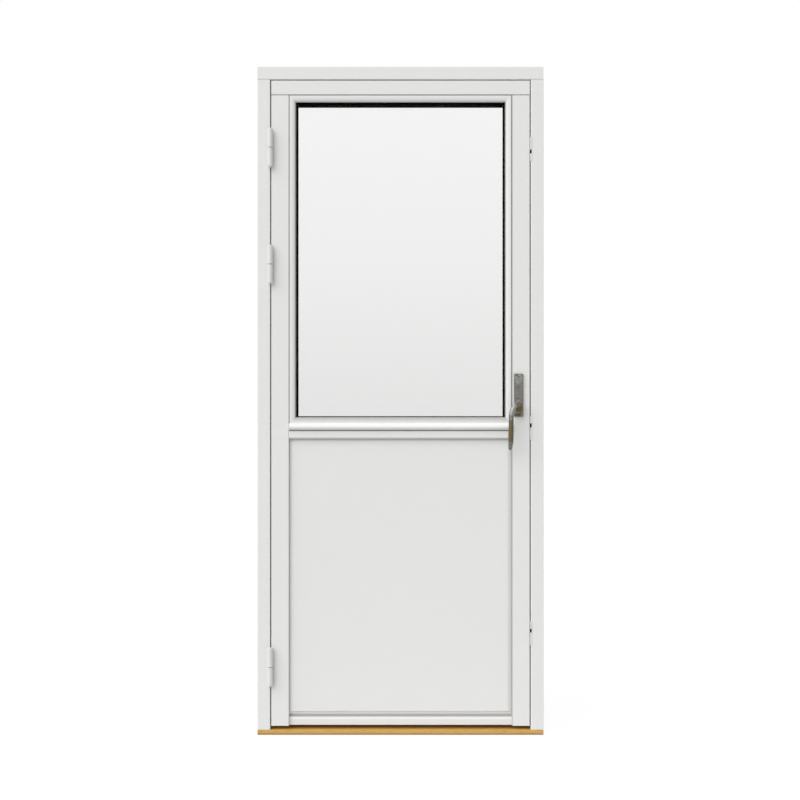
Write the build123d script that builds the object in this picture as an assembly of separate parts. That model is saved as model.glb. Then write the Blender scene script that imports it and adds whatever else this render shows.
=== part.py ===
from build123d import *
import os
from math import atan, cos, pi, radians, sin, sqrt, tan

# Balcony door with its frame: a half-glazed timber leaf that opens into the room.
# X runs to the right as seen from the room, Y points outdoors and Z is up. The origin is the
# middle of the threshold's underside. Lengths are millimetres.

# Frame
FRAME_W, FRAME_H, FRAME_D = 890.0, 2080.0, 115.0
FRAME_FACE = 39.5
STOP_STEP = 14.5
STOP_Y = 16.0
THRESHOLD_H = 17.4
UPSTAND_Z = 45.0
HALF_W = FRAME_W / 2
ROOM_Y, OUT_Y = -FRAME_D / 2, FRAME_D / 2
REBATE_X = HALF_W - FRAME_FACE
STOP_X = REBATE_X - STOP_STEP
REBATE_TOP = FRAME_H - FRAME_FACE
STOP_TOP = REBATE_TOP - STOP_STEP

# Leaf
LEAF_X = 402.4
LEAF_FRONT, LEAF_BACK = -55.5, 12.5
LEAF_BOTTOM, LEAF_TOP = 29.0, 2037.5
LOCK_BEVEL = 3.4
STILE_X = 347.0
LIP_X = 327.0
LIP_Y = 0.5
JOINT_Z = 1993.0
JOINT_V = 2.2
EDGE_ROUND = 2.5
MID_LOW, MID_TOP = 922.0, 966.5
MID_GROOVE_Z = 937.0
BOTTOM_RAIL_TOP = 112.0
RAIL_LIP_TOP = 57.5
LIP_DEPTH = STILE_X - LIP_X
RECESS_Y = -46.0
BOARD_T = 6.0
BOARD_LOW = 69.5
FIELD_MARGIN, FIELD_STEP = 13.0, 2.2
WEATHERING = 5.0

# Grooves worked in the timber
LINING_GROOVE = (-44.0, -34.0)
LINING_GROOVE_D = 8.0
KERF_D, KERF_W = 6.0, 3.0
SIDE_SEAL_X = 398.5
HEAD_SEAL_RISE = 7.5
SILL_SEAL_Z = 39.5

# Glazing beads
SIGHT_X = 325.5
SIGHT_TOP, SIGHT_LOW = 1971.3, 989.6
BEAD_BACK = -45.0
BEAD_LAND = 2.5
BEAD_CURVE = 14.5
BEAD_GAP = 0.8
BEAD_BEVEL = 2.5
NOSE_TOP, NOSE_MID, NOSE_LOW = 971.0, 959.0, 949.7
NOSE_OUT = 9.5
NOSE_QUIRK = 2.4

# Insulating glass unit
PANE_T, SPACE_T = 4.0, 14.0
GLASS_BACK = -2.5
EDGE_GAP = 5.0
SPACER_SIGHT, SPACER_TOP_SIGHT = 4.5, 8.5
SPACER_LOW_Z = 992.0
SPACER_H = 8.0
OUTER_TAPE_W, INNER_TAPE_W = 11.0, 14.0
BLOCK_L = 80.0
GLASS_X = STILE_X - EDGE_GAP
GLASS_LOW, GLASS_TOP = MID_TOP + EDGE_GAP, JOINT_Z - EDGE_GAP
GLASS_FRONT = GLASS_BACK - 3 * PANE_T - 2 * SPACE_T
SPACER_X = SIGHT_X - SPACER_SIGHT + SPACER_H
SPACER_TOP = SIGHT_TOP - SPACER_TOP_SIGHT + SPACER_H
SPACER_BOTTOM = SPACER_LOW_Z - SPACER_H
OUTER_SPACE = (GLASS_BACK - PANE_T - SPACE_T, GLASS_BACK - PANE_T)
INNER_SPACE = (GLASS_FRONT + PANE_T, GLASS_FRONT + PANE_T + SPACE_T)

# Hinges
HINGE_X, HINGE_Y = -405.0, -66.7
HINGE_ZS = {"top": 1826.5, "middle": 1464.5, "bottom": 214.0}
KNUCKLE_R, KNUCKLE_L = 8.8, 57.0
PIN_R = 5.0
PLATE_HALF = 55.0
HINGE_PLATE_T = 2.5
HINGE_PLATE_END = -22.0
WASHER_R, WASHER_T = 7.2, 2.2
PIN_LOW, PIN_L = 35.0, 75.0
HINGE_SCREWS = ((-44.0, 42.0), (-33.0, 16.0), (-33.0, -16.0), (-44.0, -42.0))

# Lock: lever, rack and pinion, rods with roller cams, and keeps in the jamb
HUB_X, HUB_Z = 367.2, 1022.0
LOCK_Y = -21.5
GEAR_MODULE, GEAR_TEETH = 1.25, 16
PRESSURE_ANGLE = 20.0
GEAR_W = 6.0
RACK_BACK = 3.0
HUB_JOURNAL_R = 7.0
BACKLASH = 0.12
PITCH_R = GEAR_MODULE * GEAR_TEETH / 2
TRAVEL = PITCH_R * pi / 2
ROD_IN, ROD_OUT = 391.7, 397.4
ROD_W = 14.0
ROD_LOW, ROD_TOP = 290.0, 1850.0
RIVET_R = 1.5
RIVET_PLACES = ((364.0, 973.0), (374.0, 1056.0))
CAM_R, CAM_TIP = 5.0, 406.9
FACEPLATE_IN, FACEPLATE_OUT = 397.7, 400.2
FACEPLATE_W = 20.0
FACEPLATE_LOW, FACEPLATE_TOP = 250.0, 1900.0
CHANNEL_END = 12.0
CASE_IN, CASE_OUT = 350.6, 391.2
CASE_LOW, CASE_TOP = HUB_Z - 60.0, HUB_Z + 72.0
CASE_HALF, CASE_WALL = 8.0, 1.6
KEEP_ZS = {"top": 1824.0, "middle": 956.0, "bottom": 317.0}
KEEP_IN, KEEP_OUT = 403.6, 410.0
KEEP_POCKET_X = 408.5
KEEP_FRONT, KEEP_BACK = -58.2, -8.0
KEEP_HALF = 37.5
KEEP_ROOM = CAM_R + 1.3
KEEP_SCREW_Y, KEEP_SCREW_RISE = -42.0, 29.0

# Handle
PLATE_LOW, PLATE_TOP = 991.0, 1125.0
PLATE_W, PLATE_T = 28.4, 8.0
PLATE_FRONT = LEAF_FRONT - PLATE_T
JOURNAL_R = 9.0
SPINDLE = 8.0
PLATE_SCREW_ZS = (999.0, 1114.0)
BOSS_R, BOSS_L = 12.0, 17.0
GRIP_X, GRIP_Y = 340.0, -104.0
GRIP_LOW = 889.0

# Fixings
SLEEVE_ZS = (110.0, 600.0, 1250.0, 1940.0)
SLEEVE_Y = -20.0
SLEEVE_R, SLEEVE_BORE_R = 7.0, 4.5
DOWEL_R = 5.0
TOP_DOWEL_XS, TOP_DOWEL_L = (365.0, 388.0), 60.0
RAIL_DOWELS = ((-34.0, 950.0), (-10.0, 950.0), (LOCK_Y, 60.0), (LOCK_Y, 92.0))
RAIL_DOWEL_L, RAIL_DOWEL_IN = 54.0, 26.0
CORNER_SCREW_X, CORNER_SCREW_YS = 425.0, (-30.0, 35.0)
HEAD_SCREW_L, SILL_SCREW_L = 95.0, 75.0
DRIP_TOP, DRIP_SCREW_Z = 86.0, 79.0
DRIP_T = 2.0
DRIP_SCREW_XS = (110.0, 305.0)
RUN_FIT = 0.05


def outline(*corners):
    """Closed face through corners given as (a, b) or (a, b, corner radius)."""
    points = [corner[:2] for corner in corners]
    rounds = [corner[2] if len(corner) > 2 else 0 for corner in corners]
    return make_face(FilletPolyline(*points, radius=rounds, close=True))


def run_x(face, x0, x1):
    """Face drawn in (Y, Z), run along X."""
    return extrude(Plane.YZ.offset(x0) * face, amount=x1 - x0)


def run_y(face, y0, y1):
    """Face drawn in (X, Z), run along Y."""
    return extrude(Plane.XZ.offset(-y0) * face, amount=y0 - y1)


def run_z(face, z0, z1):
    """Face drawn in (X, Y), run along Z."""
    return extrude(Plane.XY.offset(z0) * face, amount=z1 - z0)


def block(xs, ys, zs):
    """Box between two limits along each axis."""
    middle = [(low + high) / 2 for low, high in (xs, ys, zs)]
    return Pos(*middle) * Box(*[high - low for low, high in (xs, ys, zs)])


def bar(start, direction, length, radius):
    """Round bar from a point along a direction."""
    return extrude(Plane(start, z_dir=direction) * Circle(radius), amount=length)


def screw(start, direction, length, shank_r, head_r):
    """Countersunk screw, its flat head at the start point."""
    cone = head_r - shank_r
    half = Polyline(
        (0, 0), (head_r, 0), (shank_r, cone), (shank_r, length - 2 * shank_r), (0, length), (0, 0)
    )
    turned = revolve(Plane.XZ * make_face(half), Axis.Z)
    return Plane(start, z_dir=direction) * turned


def quarter(center, radius_a, radius_b, start):
    """Quarter of an ellipse, anticlockwise from a start angle."""
    return EllipticalCenterArc(center, radius_a, radius_b, start_angle=start, arc_size=90)


def both_sides(part):
    """The part with its mirror image on the other side of the door."""
    return [part, mirror(part, about=Plane.YZ)]


def without(part, tools):
    """Part with each tool cut out of it."""
    for tool in tools:
        part = part - tool
    return part


def write(name, *solids):
    """One STEP for the node, of one or more separate solids."""
    bodies = [body for solid in solids for body in solid.solids()]
    export_step(bodies[0] if len(bodies) == 1 else Compound(children=bodies), f"parts/{name}.step")


# Fixings, which are also cut out of what they hold


def frame_screws():
    """Two long screws at each frame corner, from above and from below."""
    screws = []
    for y in CORNER_SCREW_YS:
        top = screw((-CORNER_SCREW_X, y, FRAME_H), (0, 0, -1), HEAD_SCREW_L, 3, 6)
        low = screw((-CORNER_SCREW_X, y, 0), (0, 0, 1), SILL_SCREW_L, 3, 6)
        screws += both_sides(top) + both_sides(low)
    return screws


def fixing_sleeves():
    """Threaded wall-fixing sleeves, each a tube across a jamb, with a hexagon socket inside."""
    sleeves = []
    for z in SLEEVE_ZS:
        tube = bar((-HALF_W + 1, SLEEVE_Y, z), (1, 0, 0), FRAME_FACE - 2, SLEEVE_R)
        tube -= bar((-HALF_W + 1, SLEEVE_Y, z), (1, 0, 0), FRAME_FACE - 2, SLEEVE_BORE_R)
        socket = Plane((-REBATE_X - 1, SLEEVE_Y, z), z_dir=(-1, 0, 0)) * RegularPolygon(6, 6)
        sleeves += both_sides(tube - extrude(socket, amount=8))
    return sleeves


def sleeve_holes():
    """Straight holes across both jambs for the sleeves."""
    holes = []
    for z in SLEEVE_ZS:
        hole = bar((-HALF_W - 1, SLEEVE_Y, z), (1, 0, 0), FRAME_FACE + 2, SLEEVE_R)
        holes += both_sides(hole)
    return holes


def leaf_dowels():
    """Beech dowels that join the rails to the stiles."""
    dowels = []
    for x in TOP_DOWEL_XS:
        upright = bar((x, LOCK_Y, JOINT_Z - TOP_DOWEL_L / 2), (0, 0, 1), TOP_DOWEL_L, DOWEL_R)
        dowels += both_sides(upright)
    for y, z in RAIL_DOWELS:
        level = bar((STILE_X - RAIL_DOWEL_IN, y, z), (1, 0, 0), RAIL_DOWEL_L, DOWEL_R)
        dowels += both_sides(level)
    return dowels


def hinge_frame_screws():
    """Screws through the hinge plates into the jamb."""
    return [
        screw((-REBATE_X, y, z + dz), (-1, 0, 0), 30, 2, 4)
        for z in HINGE_ZS.values()
        for y, dz in HINGE_SCREWS
    ]


def hinge_leaf_screws():
    """Screws through the hinge plates into the stile."""
    return [
        screw((-LEAF_X, y, z + dz), (1, 0, 0), 30, 2, 4)
        for z in HINGE_ZS.values()
        for y, dz in HINGE_SCREWS
    ]


def keep_screws():
    """Two screws through each keep into the jamb."""
    return [
        screw((KEEP_IN, KEEP_SCREW_Y, z + dz), (1, 0, 0), 28, 2, 4)
        for z in KEEP_ZS.values()
        for dz in (-KEEP_SCREW_RISE, KEEP_SCREW_RISE)
    ]


def faceplate_screws():
    """Countersunk screws along the faceplate."""
    return [
        screw((FACEPLATE_OUT, LOCK_Y, z), (-1, 0, 0), 24, 2, 4)
        for z in (FACEPLATE_LOW + 6, FACEPLATE_TOP - 6)
    ]


def handle_plate_screws():
    """Two screws that hold the handle plate to the stile."""
    return [
        screw((HUB_X, PLATE_FRONT, z), (0, 1, 0), 24, 2, 4.2)
        for z in PLATE_SCREW_ZS
    ]


def drip_bar_screws():
    """Four screws through the drip bar into the bottom rail."""
    screws = []
    for x in DRIP_SCREW_XS:
        screws += both_sides(screw((x, LEAF_BACK + DRIP_T, DRIP_SCREW_Z), (0, -1, 0), 22, 1.75, 3.5))
    return screws


def case_rivets():
    """Rivets that hold the gear case and its cover together."""
    return [bar((x, LOCK_Y - CASE_HALF, z), (0, 1, 0), 2 * CASE_HALF, RIVET_R) for x, z in RIVET_PLACES]


# Frame


def seal_grooves():
    """Kerfs in the stops that hold the stems of the seals."""
    xs = (SIDE_SEAL_X - KERF_W / 2, SIDE_SEAL_X + KERF_W / 2)
    return both_sides(block(xs, (STOP_Y, STOP_Y + KERF_D), (THRESHOLD_H, REBATE_TOP)))


def frame_seals():
    """Bulb seals: two up the jambs, one along the head and one on the threshold's upstand."""
    bulb_depth = STOP_Y - LEAF_BACK - 0.3
    d_shape = outline((-4.5, 0), (-4.5, bulb_depth, 1.6), (4.5, bulb_depth, 1.6), (4.5, 0))
    inside = bulb_depth - 0.7
    hollow = outline((-3.5, 0.7), (-3.5, inside, 0.9), (3.5, inside, 0.9), (3.5, 0.7))
    stem = outline((-1.4, 0), (1.4, 0), (1.4, -5.5, 0.8), (-1.4, -5.5, 0.8))
    seal = d_shape + stem - hollow
    upright = Plane((-SIDE_SEAL_X, STOP_Y, THRESHOLD_H), x_dir=(1, 0, 0), z_dir=(0, 0, 1))
    side = extrude(upright * mirror(seal, about=Plane.XZ), amount=REBATE_TOP - THRESHOLD_H - 3)
    lengths = both_sides(side)
    for half_x, z in ((STOP_X - 0.2, STOP_TOP + HEAD_SEAL_RISE), (STOP_X - 1, SILL_SEAL_Z)):
        across = Plane((-half_x, STOP_Y, z), x_dir=(0, 0, 1), z_dir=(1, 0, 0))
        lengths.append(extrude(across * seal, amount=2 * half_x))
    return lengths


def hinge_mortises():
    """Shallow recesses for the hinge plates, as cut in the jamb."""
    xs = (-REBATE_X - HINGE_PLATE_T, -REBATE_X)
    ys = (ROOM_Y - 1, HINGE_PLATE_END)
    return [block(xs, ys, (z - PLATE_HALF, z + PLATE_HALF)) for z in HINGE_ZS.values()]


def jamb():
    """Left jamb: rebate, stop, seal kerf and a groove for the wall lining."""
    section = outline(
        (-HALF_W, ROOM_Y, 1.5), (-REBATE_X, ROOM_Y, 2.5), (-REBATE_X, STOP_Y), (-STOP_X, STOP_Y, 1),
        (-STOP_X, OUT_Y, 3), (-HALF_W, OUT_Y, 1.5),
    )
    post = run_z(section, THRESHOLD_H, REBATE_TOP)
    groove = block((-HALF_W, -HALF_W + LINING_GROOVE_D), LINING_GROOVE, (0, FRAME_H))
    return without(post, [groove, seal_grooves()[1], *sleeve_holes()[0::2], *frame_screws()])


def hinge_jamb():
    return without(jamb(), hinge_mortises() + hinge_frame_screws())


def lock_jamb():
    beds = [
        block((REBATE_X - 1, KEEP_OUT), (ROOM_Y - 1, KEEP_BACK), (z - KEEP_HALF, z + KEEP_HALF))
        for z in KEEP_ZS.values()
    ]
    return without(mirror(jamb(), about=Plane.YZ), beds + keep_screws())


def head():
    """Head of the frame, which lies over both jambs."""
    section = outline(
        (ROOM_Y, REBATE_TOP, 2.5), (STOP_Y, REBATE_TOP), (STOP_Y, STOP_TOP, 1), (OUT_Y, STOP_TOP, 3),
        (OUT_Y, FRAME_H, 1.5), (ROOM_Y, FRAME_H, 1.5),
    )
    beam = run_x(section, -HALF_W, HALF_W)
    shoulders = both_sides(block((STOP_X, HALF_W), (STOP_Y, OUT_Y), (STOP_TOP, REBATE_TOP)))
    groove = block((-HALF_W, HALF_W), LINING_GROOVE, (FRAME_H - LINING_GROOVE_D, FRAME_H))
    kerf_z = STOP_TOP + HEAD_SEAL_RISE
    kerf_zs = (kerf_z - KERF_W / 2, kerf_z + KERF_W / 2)
    kerf = block((-STOP_X, STOP_X), (STOP_Y, STOP_Y + KERF_D), kerf_zs)
    return without(beam, shoulders + [groove, kerf] + frame_screws())


def threshold():
    """Oak threshold: nosing, flat, upstand with its seal kerf, weather slope and drip groove."""
    section = outline(
        (ROOM_Y + 4, 0), (ROOM_Y, 6.5, 1), (ROOM_Y, THRESHOLD_H, 2), (STOP_Y, THRESHOLD_H),
        (STOP_Y, UPSTAND_Z, 2), (STOP_Y + 9, UPSTAND_Z, 3), (OUT_Y, UPSTAND_Z - 12, 2), (OUT_Y, 0, 1),
    )
    sill = run_x(section, -HALF_W, HALF_W)
    feet = both_sides(block((STOP_X, HALF_W + 1), (STOP_Y - 1, OUT_Y + 1), (THRESHOLD_H, FRAME_H)))
    kerf_zs = (SILL_SEAL_Z - KERF_W / 2, SILL_SEAL_Z + KERF_W / 2)
    kerf = block((-STOP_X, STOP_X), (STOP_Y, STOP_Y + KERF_D), kerf_zs)
    drip_groove = bar((-HALF_W, OUT_Y - 8, 0), (1, 0, 0), FRAME_W, 3)
    return without(sill, feet + [kerf, drip_groove] + frame_screws())


# Leaf


def stile(section):
    """Upright from its section, bevelled along the top of its face for the joint's V."""
    bevel = make_face(Polyline(
        (LEAF_FRONT, JOINT_Z - JOINT_V), (LEAF_FRONT + JOINT_V, JOINT_Z), (LEAF_FRONT, JOINT_Z),
        (LEAF_FRONT, JOINT_Z - JOINT_V),
    ))
    return run_z(section, LEAF_BOTTOM, JOINT_Z) - run_x(bevel, -LEAF_X, LEAF_X)


def hinge_stile():
    """Left stile, rebated for the glass and the panel, with the hinge plates let in."""
    post = stile(outline(
        (-LEAF_X, LEAF_FRONT, 1.5), (-STILE_X, LEAF_FRONT, EDGE_ROUND), (-STILE_X, LIP_Y),
        (-LIP_X, LIP_Y, 1), (-LIP_X, LEAF_BACK, 3), (-LEAF_X, LEAF_BACK, 2),
    ))
    xs = (-LEAF_X, -LEAF_X + HINGE_PLATE_T)
    ys = (LEAF_FRONT - 1, HINGE_PLATE_END)
    beds = [block(xs, ys, (z - PLATE_HALF, z + PLATE_HALF)) for z in HINGE_ZS.values()]
    return without(post, beds + hinge_leaf_screws() + leaf_dowels())


def across_lock(half):
    """Limits in Y about the lock's middle plane."""
    return (LOCK_Y - half, LOCK_Y + half)


def lock_stile():
    """Right stile with a bevelled edge, grooved for the lock's faceplate, rods and case."""
    post = stile(outline(
        (LEAF_X, LEAF_FRONT, 1.5), (STILE_X, LEAF_FRONT, EDGE_ROUND), (STILE_X, LIP_Y),
        (LIP_X, LIP_Y, 1), (LIP_X, LEAF_BACK, 3), (LEAF_X - LOCK_BEVEL, LEAF_BACK, 2),
    ))
    faceplate_zs = (FACEPLATE_LOW, FACEPLATE_TOP)
    bed = block((FACEPLATE_IN, LEAF_X + 1), across_lock(FACEPLATE_W / 2), faceplate_zs)
    channel_zs = (FACEPLATE_LOW + CHANNEL_END, FACEPLATE_TOP - CHANNEL_END)
    channel = block((CASE_OUT - 0.2, FACEPLATE_IN), across_lock(ROD_W / 2 + 1), channel_zs)
    pocket_zs = (CASE_LOW - 0.2, CASE_TOP + 0.2)
    pocket = block((CASE_IN - 0.2, CASE_OUT), across_lock(CASE_HALF + 0.2), pocket_zs)
    spindle_hole = bar((HUB_X, LEAF_FRONT - 1, HUB_Z), (0, 1, 0), 30, 11)
    cuts = [bed, channel, pocket, spindle_hole] + faceplate_screws() + handle_plate_screws()
    return without(post, cuts + leaf_dowels())


def coped(section):
    """A rail between the stiles, with its outer lip shortened to meet the stiles' lips."""
    rail = run_x(section, -STILE_X, STILE_X)
    ends = both_sides(block((LIP_X, STILE_X), (LIP_Y, LEAF_BACK), (0, LEAF_TOP)))
    return without(rail, ends + leaf_dowels() + drip_bar_screws())


def top_rail():
    """Top rail, full width over the stiles."""
    section = outline(
        (LEAF_FRONT, JOINT_Z, EDGE_ROUND), (LIP_Y, JOINT_Z), (LIP_Y, JOINT_Z - LIP_DEPTH, 1),
        (LEAF_BACK, JOINT_Z - LIP_DEPTH, 3), (LEAF_BACK, LEAF_TOP, 2), (LEAF_FRONT, LEAF_TOP, 1.5),
    )
    rail = run_x(section, -LEAF_X, LEAF_X)
    ends = both_sides(block((LIP_X, LEAF_X), (LIP_Y, LEAF_BACK), (JOINT_Z - LIP_DEPTH, JOINT_Z)))
    bevel = run_z(
        make_face(Polyline(
            (LEAF_X, LEAF_FRONT), (LEAF_X + 5, LEAF_FRONT), (LEAF_X + 5, LEAF_BACK),
            (LEAF_X - LOCK_BEVEL, LEAF_BACK), (LEAF_X, LEAF_FRONT),
        )),
        JOINT_Z, LEAF_TOP,
    )
    return without(rail, ends + [bevel] + leaf_dowels())


def mid_rail():
    """Rail under the glass: bead seat, quirk, weathered outer lip and a groove for the panel."""
    lip_top = MID_TOP + LIP_DEPTH
    lip_low = MID_GROOVE_Z - 35
    quirk_y = LEAF_FRONT + NOSE_QUIRK
    return coped(outline(
        (LEAF_FRONT, MID_LOW, 2), (LEAF_FRONT, NOSE_LOW - NOSE_QUIRK), (quirk_y, NOSE_LOW - NOSE_QUIRK),
        (quirk_y, NOSE_LOW), (LEAF_FRONT, NOSE_LOW), (LEAF_FRONT, MID_TOP), (LIP_Y, MID_TOP),
        (LIP_Y, lip_top, 1), (LEAF_BACK, lip_top - WEATHERING, 2), (LEAF_BACK, lip_low, 3),
        (LIP_Y, lip_low, 1), (LIP_Y, MID_GROOVE_Z), (RECESS_Y, MID_GROOVE_Z), (RECESS_Y, MID_LOW, 1),
    ))


def bottom_rail():
    """Bottom rail: a recessed lip below the panel board, and the panel's seat above."""
    seat_y = RECESS_Y + BOARD_T
    lip_top = BOTTOM_RAIL_TOP + LIP_DEPTH
    return coped(outline(
        (RECESS_Y, LEAF_BOTTOM, 2), (RECESS_Y, RAIL_LIP_TOP, 3), (seat_y, RAIL_LIP_TOP),
        (seat_y, BOTTOM_RAIL_TOP), (LIP_Y, BOTTOM_RAIL_TOP), (LIP_Y, lip_top, 1),
        (LEAF_BACK, lip_top - WEATHERING, 2), (LEAF_BACK, LEAF_BOTTOM, 2),
    ))


def panel_front_board():
    """Room-side board: a flat field with sloped margins, and a rounded edge over the bottom rail."""
    half, top = STILE_X - 0.5, MID_GROOVE_Z - 0.5
    back = RECESS_Y + BOARD_T
    plan = outline(
        (-half, RECESS_Y + FIELD_STEP), (FIELD_MARGIN - half, RECESS_Y), (half - FIELD_MARGIN, RECESS_Y),
        (half, RECESS_Y + FIELD_STEP), (half, back), (-half, back),
    )
    section = outline((RECESS_Y, BOARD_LOW, 5), (RECESS_Y, top), (back, top), (back, BOARD_LOW))
    return run_z(plan, BOARD_LOW, top) & run_x(section, -half, half)


def panel_layer(front, back):
    """One flat layer of the infill, between the bottom rail's seat and the mid rail's groove."""
    return block((-STILE_X + 0.5, STILE_X - 0.5), (front, back), (BOTTOM_RAIL_TOP, MID_GROOVE_Z - 0.5))


# Glazing


def bead_section():
    """Bead drawn with its sight edge at the origin, (outwards, depth): land, ovolo, flat, bevel."""
    width = STILE_X - SIGHT_X - BEAD_GAP
    depth = BEAD_BACK - LEAF_FRONT
    edges = Polyline(
        (0, -BEAD_LAND), (0, 0), (width, 0), (width, BEAD_BEVEL - depth),
        (width - BEAD_BEVEL, -depth), (BEAD_CURVE, -depth),
    )
    edges += quarter((BEAD_CURVE, -BEAD_LAND), BEAD_CURVE, depth - BEAD_LAND, 180)
    return make_face(edges)


def mitre_wedge(z_sight, up):
    """Waste beyond the 45 degree mitre at a sight corner, as cut off an upright bead."""
    side = STILE_X - SIGHT_X
    triangle = make_face(Polyline(
        (SIGHT_X, z_sight), (SIGHT_X + side, z_sight + up * side), (SIGHT_X, z_sight + up * side),
        (SIGHT_X, z_sight),
    ))
    return run_y(triangle, LEAF_FRONT - 1, BEAD_BACK + 1)


def side_bead():
    """Right glazing bead, mitred at both ends."""
    side = STILE_X - SIGHT_X
    foot = Plane((SIGHT_X, BEAD_BACK, SIGHT_LOW - side), x_dir=(1, 0, 0), z_dir=(0, 0, 1))
    bead = extrude(foot * bead_section(), amount=SIGHT_TOP - SIGHT_LOW + 2 * side)
    return without(bead, [mitre_wedge(SIGHT_TOP, 1), mitre_wedge(SIGHT_LOW, -1)])


def top_bead():
    """Top glazing bead, mitred to the side beads."""
    side = STILE_X - SIGHT_X
    end = Plane((-STILE_X, BEAD_BACK, SIGHT_TOP), x_dir=(0, 0, 1), z_dir=(-1, 0, 0))
    bead = extrude(end * bead_section(), amount=-2 * STILE_X)
    triangle = make_face(Polyline(
        (SIGHT_X, SIGHT_TOP), (STILE_X, SIGHT_TOP), (STILE_X, SIGHT_TOP + side), (SIGHT_X, SIGHT_TOP)
    ))
    return without(bead, both_sides(run_y(triangle, LEAF_FRONT - 1, BEAD_BACK + 1)))


def bottom_bead():
    """Bottom bead, in one piece with a rounded nosing that stands out over the mid rail."""
    depth = BEAD_BACK - LEAF_FRONT
    curve_z = SIGHT_LOW - BEAD_CURVE
    edges = Polyline(
        (BEAD_BACK - BEAD_LAND, SIGHT_LOW), (BEAD_BACK, SIGHT_LOW), (BEAD_BACK, MID_TOP),
        (LEAF_FRONT, MID_TOP), (LEAF_FRONT, NOSE_LOW), (LEAF_FRONT - 3, NOSE_LOW),
    )
    edges += quarter((LEAF_FRONT - 3, NOSE_MID), NOSE_OUT - 3, NOSE_MID - NOSE_LOW, 180)
    edges += quarter((LEAF_FRONT, NOSE_MID), NOSE_OUT, NOSE_TOP - NOSE_MID, 90)
    edges += Line((LEAF_FRONT, NOSE_TOP), (LEAF_FRONT, curve_z))
    edges += quarter((BEAD_BACK - BEAD_LAND, curve_z), depth - BEAD_LAND, BEAD_CURVE, 90)
    bead = run_x(make_face(edges), -STILE_X + BEAD_GAP, STILE_X - BEAD_GAP)
    side = STILE_X - SIGHT_X
    triangle = make_face(Polyline(
        (SIGHT_X, SIGHT_LOW), (STILE_X, SIGHT_LOW), (STILE_X, SIGHT_LOW - side), (SIGHT_X, SIGHT_LOW)
    ))
    return without(bead, both_sides(run_y(triangle, LEAF_FRONT, BEAD_BACK)))


def ring(half_x, low, top, width, y0, y1, corner=0.0):
    """Rectangular loop of the given band width, measured inwards from its outer edge."""
    middle, height = Pos(0, (low + top) / 2), top - low
    outer = RectangleRounded(2 * half_x, height, corner + width)
    inner = RectangleRounded(2 * (half_x - width), height - 2 * width, max(corner, 0.5))
    return run_y(middle * (outer - inner), y0, y1)


def pane(index):
    """Glass pane, counted from outdoors."""
    back = GLASS_BACK - index * (PANE_T + SPACE_T)
    return block((-GLASS_X, GLASS_X), (back - PANE_T, back), (GLASS_LOW, GLASS_TOP))


def spacers():
    """Bent warm-edge spacer frames, one in each gas space."""
    return [
        ring(SPACER_X, SPACER_BOTTOM, SPACER_TOP, SPACER_H, y0, y1, 1.0)
        for y0, y1 in (OUTER_SPACE, INNER_SPACE)
    ]


def edge_seals():
    """Sealant that fills each gas space outside its spacer."""
    seals = []
    middle = Pos(0, (SPACER_BOTTOM + SPACER_TOP) / 2)
    core = RectangleRounded(2 * SPACER_X, SPACER_TOP - SPACER_BOTTOM, 1.0 + SPACER_H)
    for y0, y1 in (OUTER_SPACE, INNER_SPACE):
        slab = block((-GLASS_X, GLASS_X), (y0, y1), (GLASS_LOW, GLASS_TOP))
        seals.append(slab - run_y(middle * core, y0, y1))
    return seals


def glazing_tapes():
    """Soft tapes on both faces of the glass: against the outer lips and behind the beads."""
    outer = ring(GLASS_X, GLASS_LOW, GLASS_TOP, OUTER_TAPE_W, GLASS_BACK, LIP_Y)
    inner = ring(GLASS_X, GLASS_LOW, GLASS_TOP, INNER_TAPE_W, BEAD_BACK, GLASS_FRONT)
    return [outer, inner]


def setting_blocks():
    """Packers between the glass edge and the rebate: two below and two at each side."""
    ys = (GLASS_FRONT, GLASS_BACK)
    blocks = both_sides(block((180, 180 + BLOCK_L), ys, (MID_TOP, GLASS_LOW)))
    for z in (MID_TOP + 120, JOINT_Z - 220):
        blocks += both_sides(block((GLASS_X, STILE_X), ys, (z, z + BLOCK_L)))
    return blocks


def drip_bar():
    """Aluminium drip bar across the outside of the bottom rail."""
    flange_y, nose_y = LEAF_BACK + DRIP_T, 35.0
    section = outline(
        (LEAF_BACK, DRIP_TOP), (flange_y, DRIP_TOP, 0.8), (flange_y, DRIP_TOP - 18, 3),
        (nose_y, DRIP_TOP - 29, 1.5), (nose_y, DRIP_TOP - 35), (nose_y - DRIP_T, DRIP_TOP - 35),
        (nose_y - DRIP_T, DRIP_TOP - 30.4, 1), (LEAF_BACK, DRIP_TOP - 20),
    )
    return without(run_x(section, 6 - STOP_X, STOP_X - 6), drip_bar_screws())


# Hinges


def knuckle(z_joint, up):
    """One knuckle of a hinge with its rounded end and small cap, from the joint upwards or downwards."""
    end = KNUCKLE_L
    half = FilletPolyline(
        (0, 0), (KNUCKLE_R, 0), (KNUCKLE_R, end), (6.5, end), (6.5, end + 2.6), (0, end + 2.6),
        radius=[0.6, 1.6, 0, 1.4], close=False,
    )
    half += Line((0, end + 2.6), (0, 0))
    turned = revolve(Plane.XZ * make_face(half), Axis.Z)
    return Plane((HINGE_X, HINGE_Y, z_joint), x_dir=(1, 0, 0), z_dir=(0, 0, up)) * turned


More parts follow.
